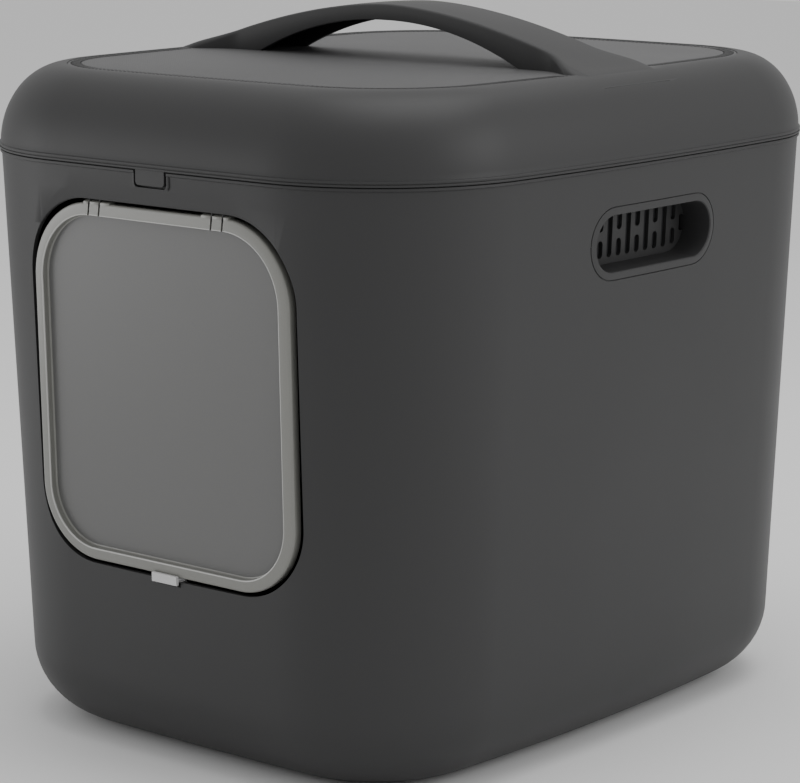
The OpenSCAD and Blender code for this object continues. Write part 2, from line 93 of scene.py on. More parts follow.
def loft(name, rings, place=None, closed=False):
    """Mesh through rings of millimetre points; capped unless it closes on itself."""
    n, m = len(rings[0]), len(rings)
    points = [Vector(p) * MM for r in rings for p in r]
    faces = []
    for i in range(m if closed else m - 1):
        j = (i + 1) % m
        faces += [(i * n + k, i * n + (k + 1) % n, j * n + (k + 1) % n, j * n + k)
                  for k in range(n)]
    if not closed:
        faces += [tuple(range(n - 1, -1, -1)), tuple(range((m - 1) * n, m * n))]
    if place is not None:
        points = [place @ p for p in points]
        if place.determinant() < 0:
            faces = [f[::-1] for f in faces]
    mesh = bpy.data.meshes.new(name)
    mesh.from_pydata(points, [], faces)
    piece = bpy.data.objects.new(name, mesh)
    bpy.context.scene.collection.objects.link(piece)
    return piece


def settle(piece):
    """Applies the modifiers and leaves a plain mesh."""
    graph = bpy.context.evaluated_depsgraph_get()
    mesh = bpy.data.meshes.new_from_object(piece.evaluated_get(graph))
    piece.modifiers.clear()
    old = piece.data
    piece.data = mesh
    bpy.data.meshes.remove(old)


def cut(piece, tool, how="DIFFERENCE"):
    step = piece.modifiers.new("cut", "BOOLEAN")
    step.operation, step.solver, step.object = how, "EXACT", tool
    settle(piece)
    bpy.data.objects.remove(tool)


def join(name, parts):
    """One mesh from several closed shells."""
    points, faces = [], []
    for part in parts:
        start = len(points)
        points += [v.co.copy() for v in part.data.vertices]
        faces += [tuple(start + i for i in f.vertices) for f in part.data.polygons]
        bpy.data.objects.remove(part)
    mesh = bpy.data.meshes.new(name)
    mesh.from_pydata(points, [], faces)
    piece = bpy.data.objects.new(name, mesh)
    bpy.context.scene.collection.objects.link(piece)
    return piece


def polish(piece, angle=32, edge=0.0, segments=2):
    """Rounds the hard edges a little, then shades smooth between them."""
    if edge:
        step = piece.modifiers.new("edge", "BEVEL")
        step.width, step.segments, step.limit_method = edge * MM, segments, "ANGLE"
        step.angle_limit, step.use_clamp_overlap = radians(40), True
        settle(piece)
    piece.data.shade_smooth()
    piece.data.set_sharp_from_angle(angle=radians(angle))


def turn_x(degrees):
    return Matrix.Rotation(radians(degrees), 4, "X")


door = Matrix.Translation(Vector((0, HINGE_Y, HINGE_Z)) * MM) @ turn_x(DOOR_TILT) @ turn_x(90)
grip_x = RIM_W / 2 - RIM_SET - (RIM_Z - GRIP_Z) * SIDE_DRAFT
grip = (Matrix.Translation(Vector((grip_x, 0, GRIP_Z)) * MM)
        @ Matrix.Rotation(atan(SIDE_DRAFT), 4, "Y") @ Matrix.Rotation(pi / 2, 4, "Z") @ turn_x(90))
flip = Matrix.Scale(-1, 4, (1, 0, 0))


def rounded(w, y0, y1, rb, rt, steps=12):
    """Rounded rectangle, counter-clockwise from its lower right corner."""
    spots = ((w / 2 - rb, y0 + rb, rb, -90), (w / 2 - rt, y1 - rt, rt, 0),
             (-w / 2 + rt, y1 - rt, rt, 90), (-w / 2 + rb, y0 + rb, rb, 180))
    return [(x + r * cos(radians(a + 90 * i / steps)), y + r * sin(radians(a + 90 * i / steps)))
            for x, y, r, a in spots for i in range(steps + 1)]


def stadium(length, height, steps=16):
    c, r = (length - height) / 2, height / 2
    return ([(c + r * cos(radians(-90 + 180 * i / steps)), r * sin(radians(-90 + 180 * i / steps)))
             for i in range(steps + 1)]
            + [(-c + r * cos(radians(90 + 180 * i / steps)), r * sin(radians(90 + 180 * i / steps)))
               for i in range(steps + 1)])


def prism(name, flat_low, z0, z1, place, flat_high=None):
    return loft(name, [[(x, y, z0) for x, y in flat_low],
                       [(x, y, z1) for x, y in (flat_high or flat_low)]], place)


def block(name, x0, x1, y0, y1, z0, z1, place=None):
    return prism(name, [(x0, y0), (x1, y0), (x1, y1), (x0, y1)], z0, z1, place)


def rod(name, r, x0, x1, y, z, place=None, steps=32):
    """Round bar along X."""
    turns = [(y + r * cos(2 * pi * i / steps), z + r * sin(2 * pi * i / steps))
             for i in range(steps)]
    return loft(name, [[(x, u, v) for u, v in turns] for x in (x0, x1)], place)


skin = []
for i in range(15):
    t = radians(90 - 90 * i / 14)
    skin.append(tub_ring(FLOOR_R, FLOOR_R * (1 - cos(t)), FLOOR_R * (1 - sin(t))))
for z in (90, 130, 170, 210, 250, 290, 330, 355):
    skin.append(tub_ring(z, 0, z))
for inset, z in ((0, 367.9), (-0.8, 368.2), (-1.1, 368.5), (-1.1, 369.6), (-1.0, 369.95),
                 (-0.6, 370.2), (2.7, 370.2), (3.0, 369.9)):
    skin.append(tub_ring(RIM_Z, inset, z))
for z in (340, 280, 220, 160, 100):
    skin.append(tub_ring(z, WALL, z))
for i in range(11):
    t, r = radians(90 * i / 10), FLOOR_R - WALL
    skin.append(tub_ring(FLOOR_R, WALL + r * (1 - cos(t)), FLOOR_R - r * sin(t)))
tub = loft("tub_moulding", skin)

front = turn_x(90)
cut(tub, prism("pad", [(-18, 355), (18, 355), (18, 368.7), (-18, 368.7)], 232.4, 237.8, front),
    "UNION")


def catch_shape(grow, top):
    return rounded(2 * (13.4 + grow), 359.9 - grow, top, 3 + grow, 0.01, 6)


catch_lip = [[(x, y, z) for x, y in catch_shape(grow, 369.9)]
             for grow, z in ((1.9, 237.4), (1.9, 239.2), (1.6, 239.7), (1.1, 239.9), (0.7, 239.9))]
cut(tub, loft("catch_lip", catch_lip, front), "UNION")
low_rim, high_rim = [
    rounded(FLAP_W + 2 * grow, -FLAP_DOWN + 0.4 - grow, FLAP_UP + 1.5 + grow,
            FLAP_RB + grow, FLAP_RT + grow) for grow in (SURROUND, 2 * SURROUND)]
cut(tub, prism("surround", low_rim, 3.3, 5.3, door, high_rim))
cut(tub, prism("surround_air", high_rim, 5.2, 12, door))


def door_edge(grow, z):
    """Outline of the door opening, a little wider where its outer edge is rounded."""
    flat = rounded(FLAP_W + 2 * (OPEN_GAP + grow), -FLAP_DOWN - SILL_GAP - grow, OPEN_UP + grow,
                   FLAP_RB + 2.6 + grow, FLAP_RT + 1 + grow, 24)
    return [(x, y, z) for x, y in flat]


door_rings = [door_edge(grow, z) for grow, z in (
    (0, -14), (0, 2.5), (0.15, 2.85), (0.45, 3.15), (0.8, 3.32), (0.8, 16))]
cut(tub, loft("opening", door_rings, door))
cut(tub, block("sill_notch", -11.4, 11.4, -226.6, -216.6, -14, 16, door))
cut(tub, prism("catch_pocket", catch_shape(0, 390), 236.2, 244, front))


def named_inputs(tree, rows):
    """Makes a node tree's inputs and gives their identifiers by name."""
    made = {}
    for label, kind, value in rows:
        socket = tree.interface.new_socket(label, in_out="INPUT", socket_type=kind)
        if value is not None:
            socket.default_value = value
        made[label] = socket.identifier
    return made


# The grille's slots are laid out by a node tree: long slots and pairs of
# short ones in turn along the recess, lower where the recess rounds off.
def slot_tree():
    tree = bpy.data.node_groups.new("grille_slots", "GeometryNodeTree")
    tree.interface.new_socket("Geometry", in_out="OUTPUT", socket_type="NodeSocketGeometry")
    made = named_inputs(tree, (("Count", "NodeSocketInt", SLOT_COUNT),
                               ("Pitch", "NodeSocketFloat", SLOT_PITCH),
                               ("Slot Width", "NodeSocketFloat", 5.2),
                               ("Slot Height", "NodeSocketFloat", 27.4),
                               ("Bridge", "NodeSocketFloat", 5.4),
                               ("Straight Half", "NodeSocketFloat", 42.6),
                               ("Depth", "NodeSocketFloat", 8.0),
                               ("Surface", "NodeSocketMaterial", None)))
    add, wire = tree.nodes.new, tree.links.new
    ins, outs = add("NodeGroupInput"), add("NodeGroupOutput")

    def math(op, a, b=None):
        node = add("ShaderNodeMath")
        node.operation = op
        for socket, v in zip(node.inputs, (a, b)):
            if v is None:
                continue
            if isinstance(v, (int, float)):
                socket.default_value = v
            else:
                wire(v, socket)
        return node.outputs[0]

    def vector(x=0.0, y=0.0, z=0.0):
        node = add("ShaderNodeCombineXYZ")
        for socket, v in zip(node.inputs, (x, y, z)):
            if isinstance(v, (int, float)):
                socket.default_value = v
            else:
                wire(v, socket)
        return node.outputs[0]

    def slot_solid(height):
        quad = add("GeometryNodeCurvePrimitiveQuadrilateral")
        wire(ins.outputs["Slot Width"], quad.inputs["Width"])
        wire(height, quad.inputs["Height"])
        fillet = add("GeometryNodeFilletCurve")
        fillet.mode = "POLY"
        fillet.inputs["Count"].default_value = 7
        wire(quad.outputs[0], fillet.inputs["Curve"])
        wire(math("MULTIPLY", ins.outputs["Slot Width"], 0.499), fillet.inputs["Radius"])
        fill = add("GeometryNodeFillCurve")
        fill.mode = "NGONS"
        wire(fillet.outputs[0], fill.inputs["Curve"])
        solid = add("GeometryNodeExtrudeMesh")
        solid.mode = "FACES"
        solid.inputs["Individual"].default_value = False
        wire(fill.outputs[0], solid.inputs["Mesh"])
        wire(vector(z=math("MULTIPLY", ins.outputs["Depth"], -1.0)), solid.inputs["Offset"])
        back = add("GeometryNodeFlipFaces")
        wire(fill.outputs[0], back.inputs[0])
        both = add("GeometryNodeJoinGeometry")
        wire(solid.outputs["Mesh"], both.inputs[0])
        wire(fill.outputs[0], both.inputs[0])
        weld = add("GeometryNodeMergeByDistance")
        weld.inputs["Distance"].default_value = 0.001
        wire(both.outputs[0], weld.inputs["Geometry"])
        return weld.outputs[0]

    long_one = slot_solid(ins.outputs["Slot Height"])
    short_h = math("MULTIPLY", math("SUBTRACT", ins.outputs["Slot Height"],
                                    ins.outputs["Bridge"]), 0.5)
    short_one = slot_solid(short_h)
    shift = math("MULTIPLY", math("ADD", short_h, ins.outputs["Bridge"]), 0.5)
    pair = add("GeometryNodeJoinGeometry")
    for sign in (1.0, -1.0):
        move = add("GeometryNodeTransform")
        wire(short_one, move.inputs["Geometry"])
        wire(vector(y=math("MULTIPLY", shift, sign)), move.inputs["Translation"])
        wire(move.outputs[0], pair.inputs[0])
    row = add("GeometryNodeMeshLine")
    wire(ins.outputs["Count"], row.inputs["Count"])
    span = math("MULTIPLY", math("SUBTRACT", ins.outputs["Count"], 1.0), ins.outputs["Pitch"])
    wire(vector(x=math("MULTIPLY", span, -0.5)), row.inputs["Start Location"])
    wire(vector(x=ins.outputs["Pitch"]), row.inputs["Offset"])
    order = add("GeometryNodeInputIndex")
    odd = math("MODULO", order.outputs[0], 2.0)
    place = add("GeometryNodeInputPosition")
    apart = add("ShaderNodeSeparateXYZ")
    wire(place.outputs[0], apart.inputs[0])
    past = math("MAXIMUM", math("SUBTRACT", math("ABSOLUTE", apart.outputs[0]),
                                ins.outputs["Straight Half"]), 0.0)
    half = math("ADD", math("MULTIPLY", ins.outputs["Slot Height"], 0.5), 3.75)
    rise = math("SQRT", math("SUBTRACT", math("MULTIPLY", half, half),
                             math("MULTIPLY", past, past)))
    share = math("DIVIDE", math("SUBTRACT", math("MULTIPLY", rise, 2.0), 7.5),
                 ins.outputs["Slot Height"])
    result = add("GeometryNodeJoinGeometry")
    for shape, pick in ((long_one, math("SUBTRACT", 1.0, odd)), (pair.outputs[0], odd)):
        put = add("GeometryNodeInstanceOnPoints")
        wire(row.outputs[0], put.inputs["Points"])
        wire(pick, put.inputs["Selection"])
        wire(shape, put.inputs["Instance"])
        wire(vector(1.0, share, 1.0), put.inputs["Scale"])
        wire(put.outputs[0], result.inputs[0])
    real = add("GeometryNodeRealizeInstances")
    wire(result.outputs[0], real.inputs[0])
    dress = add("GeometryNodeSetMaterial")
    wire(real.outputs[0], dress.inputs["Geometry"])
    wire(ins.outputs["Surface"], dress.inputs["Material"])
    wire(dress.outputs[0], outs.inputs[0])
    return tree, made


slots, slot_inputs = slot_tree()


def slot_cutters(place, z_top, depth):
    """Grille slots as closed solids at local height z_top, going down by depth."""
    piece = bpy.data.objects.new("slots", bpy.data.meshes.new("slots"))
    bpy.context.scene.collection.objects.link(piece)
    step = piece.modifiers.new("slots", "NODES")
    step.node_group = slots
    step[slot_inputs["Depth"]] = depth
    settle(piece)
    move = place @ Matrix.Translation((0, 0, z_top * MM)) @ Matrix.Scale(MM, 4)
    piece.data.transform(move)
    if move.determinant() < 0:
        piece.data.flip_normals()
    return piece


def bowed(grow, z):
    """Outline round a grip at a height over the wall, which bows away from it."""
    r = bow_radius(SIDE_BOW, RIM_L / 2)
    return [(x, y, z - x * x / (2 * r)) for x, y in stadium(POCKET_L + grow, POCKET_H + grow)]


def scored(piece, place):
    """Adds edges through the slots' middles, so that no face gets a hole cut in it."""
    form = bmesh.new()
    form.from_mesh(piece.data)
    for i in range(SLOT_COUNT):
        across = SLOT_PITCH * (i - (SLOT_COUNT - 1) / 2) * MM
        bmesh.ops.bisect_plane(form, geom=form.verts[:] + form.edges[:] + form.faces[:],
                               plane_co=place @ Vector((across, 0, 0)),
                               plane_no=place.to_3x3() @ Vector((1, 0, 0)))
    form.to_mesh(piece.data)
    form.free()
    return piece


for side in (grip, flip @ grip):
    collar = prism("collar", stadium(POCKET_L + 15, POCKET_H + 15), -11, -1.5, side)
    cut(tub, collar, "UNION")
    tube = prism("tube", stadium(POCKET_L + 5.2, POCKET_H + 5.2), -GRIP_D - 2.5, -2.5, side)
    cut(tub, scored(tube, side), "UNION")
    groove = [bowed(BEZEL + grow, z) for grow, z in ((0, -0.8), (1.2, -0.8), (1.2, 4), (0, 4))]
    cut(tub, loft("groove", groove, side, closed=True))
    lip = [bowed(grow, z) for grow, z in (
        (BEZEL, -1.5), (BEZEL, -0.1), (BEZEL - 0.4, 0.12), (1.6, 0.7))]
    cut(tub, loft("lip", lip, side), "UNION")
    mouth = [[(x, y, -GRIP_D) for x, y in stadium(POCKET_L, POCKET_H)]]
    mouth += [bowed(grow, z) for grow, z in ((0, -0.6), (0.3, 0.2), (1.2, 0.55), (2.4, 3))]
    cut(tub, scored(loft("mouth", mouth, side), side))
    cut(tub, slot_cutters(side, -GRIP_D + 1, 8.0))
polish(tub)
# The grilles are plane, so their faces take no normals from the slots' walls.
grille_x = (grip_x - GRIP_D) * MM
for face in tub.data.polygons:
    if abs(abs(face.center.x) - grille_x) < 1.5 * MM and abs(face.normal.x) > 0.99:
        face.use_smooth = False



def knuckle_arc(first, last):
    """Round end of a hinge lug or knuckle, about its pin."""
    return [(KNUCKLE_R * cos(radians(a)), KNUCKLE_R * sin(radians(a)))
            for a in range(first, last + 1, 15)]


extras = []
for side in (Matrix.Identity(4), flip):
    for x in CLIP_X:
        arm = [(-3.4, 0), (-2.4, -2.4), (0, -3.4), (2.2, -2.6), (2.2, 6.9), (6, 6.9), (6, 15.8),
               (-3, 15.8), (-3, 6.9), (-2.6, 2.2)]
        extras.append(loft("clip", [[(x + d, HINGE_Y + u, HINGE_Z + v) for u, v in arm]
                                    for d in (-0.45, 0.45)], side))
    for x0 in (57.5, 95.5):
        lug = [(-11.5, -24), (-8.6, -24), (-1.5, -7)]
        lug += knuckle_arc(-75, 90)
        lug += [(-11.5, KNUCKLE_R)]
        one = loft("lug", [[(x, PIN_Y + u, PIN_Z + v) for u, v in lug] for x in (x0, x0 + 7)],
                   side)
        cut(one, rod("bore", PIN_BORE, x0 - 1, x0 + 8, PIN_Y, PIN_Z, side))
        extras.append(one)
fittings = join("tub_fittings", extras)
polish(fittings, edge=0.4)


def grain_group():
    """Fine moulded grain: soft speckle in colour and roughness, and a height."""
    tree = bpy.data.node_groups.new("moulded_grain", "ShaderNodeTree")
    face = tree.interface
    scale = face.new_socket("Scale", in_out="INPUT", socket_type="NodeSocketFloat")
    scale.default_value = 2600.0
    for label, value in (("Base Roughness", 0.5), ("Roughness Spread", 0.08), ("Depth", 0.5)):
        face.new_socket(label, in_out="INPUT", socket_type="NodeSocketFloat").default_value = value
    tint = face.new_socket("Tint", in_out="INPUT", socket_type="NodeSocketColor")
    tint.default_value = (0.05, 0.05, 0.05, 1)
    for label, kind in (("Color", "NodeSocketColor"), ("Roughness", "NodeSocketFloat"),
                        ("Height", "NodeSocketFloat")):
        face.new_socket(label, in_out="OUTPUT", socket_type=kind)
    add, wire = tree.nodes.new, tree.links.new
    ins, outs = add("NodeGroupInput"), add("NodeGroupOutput")
    spot = add("ShaderNodeTexCoord")
    fine = add("ShaderNodeTexNoise")
    fine.inputs["Detail"].default_value = 3.0
    fine.inputs["Roughness"].default_value = 0.6
    wire(spot.outputs["Object"], fine.inputs["Vector"])
    wire(ins.outputs["Scale"], fine.inputs["Scale"])
    cloud = add("ShaderNodeTexNoise")
    cloud.inputs["Scale"].default_value = 9.0
    cloud.inputs["Detail"].default_value = 4.0
    wire(spot.outputs["Object"], cloud.inputs["Vector"])
    spread = add("ShaderNodeMath")
    spread.operation = "MULTIPLY_ADD"
    centre = add("ShaderNodeMath")
    centre.operation = "SUBTRACT"
    mix_fac = add("ShaderNodeMath")
    mix_fac.operation = "ADD"
    wire(fine.outputs["Fac"], mix_fac.inputs[0])
    wire(cloud.outputs["Fac"], mix_fac.inputs[1])
    wire(mix_fac.outputs[0], centre.inputs[0])
    centre.inputs[1].default_value = 1.0
    wire(centre.outputs[0], spread.inputs[0])
    wire(ins.outputs["Roughness Spread"], spread.inputs[1])
    wire(ins.outputs["Base Roughness"], spread.inputs[2])
    wire(spread.outputs[0], outs.inputs["Roughness"])
    shade = add("ShaderNodeMapRange")
    shade.inputs["To Min"].default_value = 0.93
    shade.inputs["To Max"].default_value = 1.07
    wire(fine.outputs["Fac"], shade.inputs["Value"])
    tone = add("ShaderNodeVectorMath")
    tone.operation = "SCALE"
    wire(ins.outputs["Tint"], tone.inputs[0])
    wire(shade.outputs[0], tone.inputs["Scale"])
    wire(tone.outputs[0], outs.inputs["Color"])
    lift = add("ShaderNodeMath")
    lift.operation = "MULTIPLY"
    wire(fine.outputs["Fac"], lift.inputs[0])
    wire(ins.outputs["Depth"], lift.inputs[1])
    wire(lift.outputs[0], outs.inputs["Height"])
    return tree


grain = grain_group()


def moulded(name, tint, roughness, spread=0.1, depth=0.5, scale=2600.0, specular=0.5,
            bump=0.25):
    stuff = bpy.data.materials.new(name)
    stuff.use_nodes = True
    tree = stuff.node_tree
    shader = tree.nodes["Principled BSDF"]
    group = tree.nodes.new("ShaderNodeGroup")
    group.node_tree = grain
    group.inputs["Scale"].default_value = scale
    group.inputs["Base Roughness"].default_value = roughness
    group.inputs["Roughness Spread"].default_value = spread
    group.inputs["Depth"].default_value = depth
    group.inputs["Tint"].default_value = (*tint, 1)
    relief = tree.nodes.new("ShaderNodeBump")
    relief.inputs["Strength"].default_value = bump
    relief.inputs["Distance"].default_value = 0.0001
    tree.links.new(group.outputs["Color"], shader.inputs["Base Color"])
    tree.links.new(group.outputs["Roughness"], shader.inputs["Roughness"])
    tree.links.new(group.outputs["Height"], relief.inputs["Height"])
    tree.links.new(relief.outputs["Normal"], shader.inputs["Normal"])
    shader.inputs["Specular IOR Level"].default_value = specular
    return stuff


def dress(piece, material, body, slot, *replaced):
    piece.data.materials.clear()
    piece.data.materials.append(material)
    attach(piece, body)
    if replaced:
        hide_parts(*replaced)


anthracite = moulded("anthracite_moulding", (0.03, 0.03, 0.0305), 0.5, specular=0.4)
dress(tub, anthracite, "base", "tub", "tub")
dress(fittings, anthracite, "base", "tub")

# ---------------------------------------------------------------- lid
# The lid's shoulder and its arched carry handle are one moulding in the same
# anthracite plastic. It hooks on a hinge at the back, rests on the tub's rim
# and clips over the front with a small tab.
TOP_Z, PANEL_HW, PANEL_HL, PANEL_RC = 422.5, 164.0, 198.5, 77.8
SHOULDER_Z = RIM_Z + 0.6
SHOULDER_H = TOP_Z - SHOULDER_Z
SIDE_IN, END_IN = RIM_W / 2 - PANEL_HW, RIM_L / 2 - PANEL_HL
LID_WALL = 3
HANDLE_TOP, HANDLE_UNDER, HANDLE_SPAN = 457.3, 447.2, 160
HANDLE_HW, FOOT_HW = 24.5, 40.0


def lid_flat(t, inset, steps=(8, 20, 8)):
    return outline(RIM_W / 2 - SIDE_IN * t - inset, RIM_L / 2 - END_IN * t - inset,
                   SIDE_BOW - 3.1 * t, END_BOW + 0.5 * t,
                   CORNER_R + (PANEL_RC - CORNER_R) * t - inset, steps)


def lid_ring(t, inset, z):
    return [(x, y, z) for x, y in lid_flat(t, inset)]


skin = [lid_ring(0, d, z) for d, z in (
    (0.4, 370.7), (0.1, 370.85), (0, 371.1), (0, 371.85), (0.1, 372.05), (0.6, 372.2),
    (0.6, 372.6), (0.1, 372.75), (0, 372.95), (0, 373.9), (0.15, 374.2), (0.85, 374.45))]
start = asin((374.9 - SHOULDER_Z) / SHOULDER_H)
for i in range(25):
    t = start + (pi / 2 - start) * i / 24
    skin.append(lid_ring(1 - cos(t), 0.9 * (1 - i / 24) ** 2, SHOULDER_Z + SHOULDER_H * sin(t)))
skin += [lid_ring(1, 0.7, TOP_Z - 0.05), lid_ring(1, 0.95, TOP_Z - 0.3),
         lid_ring(1, 1, TOP_Z - 3)]
low = asin((RIM_Z + 9 - SHOULDER_Z) / (SHOULDER_H - LID_WALL))
for i in range(11):
    t = radians(84) + (low - radians(84)) * i / 10
    skin.append(lid_ring(0.94 * (1 - cos(t)), LID_WALL,
                         SHOULDER_Z + (SHOULDER_H - LID_WALL) * sin(t)))
skin += [lid_ring(0, d, z) for d, z in (
    (7.6, 374.2), (7.6, 364.2), (5.8, 364.2), (5.8, 370.2), (2.3, 370.2), (2.3, 370.7))]
lid = loft("lid_moulding", skin, closed=True)
cut(lid, block("catch_clear", -19, 19, -236.6, -230.6, 363.2, 370.2))
cut(lid, block("rear_clear", -190, 190, 196, 236, 363.2, 370.2))


def ease(t):
    u = min(max(t, 0.0), 1.0)
    return u * u * (3 - 2 * u)


def crest(x):
    return HANDLE_TOP - 33.4 * (abs(x) / HANDLE_SPAN) ** 1.74


def shoulder_at(x):
    t = min(max((RIM_W / 2 - abs(x)) / SIDE_IN, 0), 1)
    return SHOULDER_Z + SHOULDER_H * sqrt(max(1 - (1 - t) ** 2, 0))


def handle_top(x):
    a, b = crest(x), shoulder_at(x) - 1.2 * ease((abs(x) - HANDLE_SPAN) / 24)
    k = 4 * (1 - ease((abs(x) - 150) / 34)) + 0.3
    return (a + b + sqrt((a - b) ** 2 + k * k)) / 2


def handle_half(x):
    return HANDLE_HW + (FOOT_HW - HANDLE_HW) * ease((abs(x) - 125) / 35) ** 1.3


def handle_section(x):
    w, z = handle_half(x), handle_top(x)
    b = HANDLE_UNDER - 57.7 * (abs(x) / HANDLE_SPAN) ** 2.11
    b = min(max(b, 416.5), z - 6.5)
    flare = ease((abs(x) - 120) / 45)
    rh, rv = 2.4 + 5 * flare, min(2.2 + 3 * flare, z - b - 1.5)
    iw, iz = w - 3.4 - rh * flare, max(z - 3.4, b + 0.6)
    out = [(w - 0.7, b), (w - 0.2, b + 0.2), (w, b + 0.7)]
    for i in range(11):
        u = radians(90 * i / 10)
        out.append((w - rh * (1 - cos(u)), z - rv * (1 - sin(u))))
    out += [(w - rh - (w - rh) * f, z + 0.45 * (1 - flare) * sin(f * pi / 2))
            for f in (0.25, 0.5, 0.75)]
    inner = [(iw, b), (iw, b + (iz - b) * 0.5), (iw - 0.8, iz - 0.3), (iw - 2.5, iz)]
    ring = out + [(-y, v) for y, v in out[::-1]]
    ring += [(-y, v) for y, v in inner] + inner[::-1]
    return [(x, y, v) for y, v in ring]


stations = [182 * sin(radians(72) * i / 44) / sin(radians(72)) for i in range(-44, 45)]
handle = loft("handle", [handle_section(x) for x in stations])
cut(lid, handle, "UNION")
cut(lid, prism("tab", rounded(23.6, 361.4, 372.2, 2.6, 0.01, 6), 237.9, 240.3, front), "UNION")
knuckles = []
for side in (Matrix.Identity(4), flip):
    barrel = knuckle_arc(-180, 60)
    barrel += [(3.9, 12), (-10, 12), (-10, 9), (-6.2, 8)]
    one = loft("knuckle", [[(x, PIN_Y + u, PIN_Z + v) for u, v in barrel] for x in (65, 95)],
               side)
    cut(one, rod("bore", PIN_BORE, 64, 96, PIN_Y, PIN_Z, side))
    knuckles.append(one)
knuckle = join("lid_knuckles", knuckles)
polish(knuckle, edge=0.4)
polish(lid)
dress(lid, anthracite, "lid_body", "lid", "lid")
dress(knuckle, anthracite, "lid_body", "lid")

# ---------------------------------------------------------------- top panel
# A flat plate let into the lid, moulded with a fine woven texture and a band
# of short ribs along its edge; the ribs are tinted much darker than the plate,
# as painted shade of the grooves between them. It stops short of the handle's feet.
PANEL_TOP, PANEL_GAP, FOOT_GAP = 422.1, 1.25, 0.35
RIB_INSET, RIB_END = 6.4, 44


def panel_ring(inset, z):
    return [(x, y, z) for x, y in lid_flat(1, PANEL_GAP + inset)]


panel = loft("panel_plate", [panel_ring(inset, PANEL_TOP - drop) for inset, drop in (
    (0, 3), (0, 0.25), (0.08, 0.08), (0.25, 0))])
for side in (Matrix.Identity(4), flip):
    edge = [(106.5, HANDLE_HW + FOOT_GAP)]
    edge += [(x, handle_half(x) + FOOT_GAP) for x in range(118, 167, 3)]
    edge += [(190, FOOT_HW + FOOT_GAP)]
    cut(panel, prism("foot_space", [(x, -y) for x, y in edge[::-1]] + edge, 410, 430, side))
polish(panel)


# A node tree lays the slanting ribs along the outline at a fixed spacing.
def rib_tree():
    tree = bpy.data.node_groups.new("edge_ribs", "GeometryNodeTree")
    for way in ("INPUT", "OUTPUT"):
        tree.interface.new_socket("Geometry", in_out=way, socket_type="NodeSocketGeometry")
    made = named_inputs(tree, (("Spacing", "NodeSocketFloat", 0.0036),
                               ("Rib Length", "NodeSocketFloat", 0.0095),
                               ("Rib Width", "NodeSocketFloat", 0.0015),
                               ("Rib Height", "NodeSocketFloat", 0.0004),
                               ("Lean", "NodeSocketFloat", 0.9),
                               ("Surface", "NodeSocketMaterial", None)))
    add, wire = tree.nodes.new, tree.links.new
    ins, outs = add("NodeGroupInput"), add("NodeGroupOutput")
    path = add("GeometryNodeMeshToCurve")
    wire(ins.outputs["Geometry"], path.inputs["Mesh"])
    spots = add("GeometryNodeResampleCurve")
    spots.mode = "LENGTH"
    wire(path.outputs["Curve"], spots.inputs["Curve"])
    wire(ins.outputs["Spacing"], spots.inputs["Length"])
    size = add("ShaderNodeCombineXYZ")
    for axis, label in (("X", "Rib Width"), ("Y", "Rib Length"), ("Z", "Rib Height")):
        wire(ins.outputs[label], size.inputs[axis])
    rib = add("GeometryNodeMeshCube")
    wire(size.outputs[0], rib.inputs["Size"])
    along = add("GeometryNodeInputTangent")
    turn = add("FunctionNodeAlignRotationToVector")
    turn.axis, turn.pivot_axis = "X", "Z"
    wire(along.outputs[0], turn.inputs["Vector"])
    lean = add("ShaderNodeCombineXYZ")
    wire(ins.outputs["Lean"], lean.inputs["Z"])
    slant = add("FunctionNodeEulerToRotation")
    wire(lean.outputs[0], slant.inputs[0])
    both = add("FunctionNodeRotateRotation")
    both.rotation_space = "LOCAL"
    wire(turn.outputs[0], both.inputs["Rotation"])
    wire(slant.outputs[0], both.inputs["Rotate By"])
    put = add("GeometryNodeInstanceOnPoints")
    wire(spots.outputs[0], put.inputs["Points"])
    wire(rib.outputs[0], put.inputs["Instance"])
    wire(both.outputs[0], put.inputs["Rotation"])
    real = add("GeometryNodeRealizeInstances")
    wire(put.outputs[0], real.inputs[0])
    dress = add("GeometryNodeSetMaterial")
    wire(real.outputs[0], dress.inputs["Geometry"])
    wire(ins.outputs["Surface"], dress.inputs["Material"])
    wire(dress.outputs[0], outs.inputs[0])
    return tree, made


def woven(name, tint, roughness, pitch):
    """Moulded plastic with a fine crossed relief."""
    stuff = moulded(name, tint, roughness)
    tree = stuff.node_tree
    add, wire = tree.nodes.new, tree.links.new
    spot, apart = add("ShaderNodeTexCoord"), add("ShaderNodeSeparateXYZ")
    wire(spot.outputs["Object"], apart.inputs[0])
    waves = []
    for sign in (1.0, -1.0):
        slope = add("ShaderNodeMath")
        slope.operation = "MULTIPLY_ADD"
        wire(apart.outputs["Y"], slope.inputs[0])
        slope.inputs[1].default_value = sign
        wire(apart.outputs["X"], slope.inputs[2])
        phase = add("ShaderNodeMath")
        phase.operation = "MULTIPLY"
        wire(slope.outputs[0], phase.inputs[0])
        phase.inputs[1].default_value = 2 * pi / pitch
        wave = add("ShaderNodeMath")
        wave.operation = "SINE"
        wire(phase.outputs[0], wave.inputs[0])
        waves.append(wave.outputs[0])
    cross = add("ShaderNodeMath")
    cross.operation = "MULTIPLY"
    wire(waves[0], cross.inputs[0])
    wire(waves[1], cross.inputs[1])
    relief = add("ShaderNodeBump")
    relief.inputs["Strength"].default_value = 0.5
    relief.inputs["Distance"].default_value = 0.0002
    wire(cross.outputs[0], relief.inputs["Height"])
    fine = next(n for n in tree.nodes if n.type == "BUMP" and n != relief)
    wire(fine.outputs["Normal"], relief.inputs["Normal"])
    wire(relief.outputs["Normal"], tree.nodes["Principled BSDF"].inputs["Normal"])
    return stuff


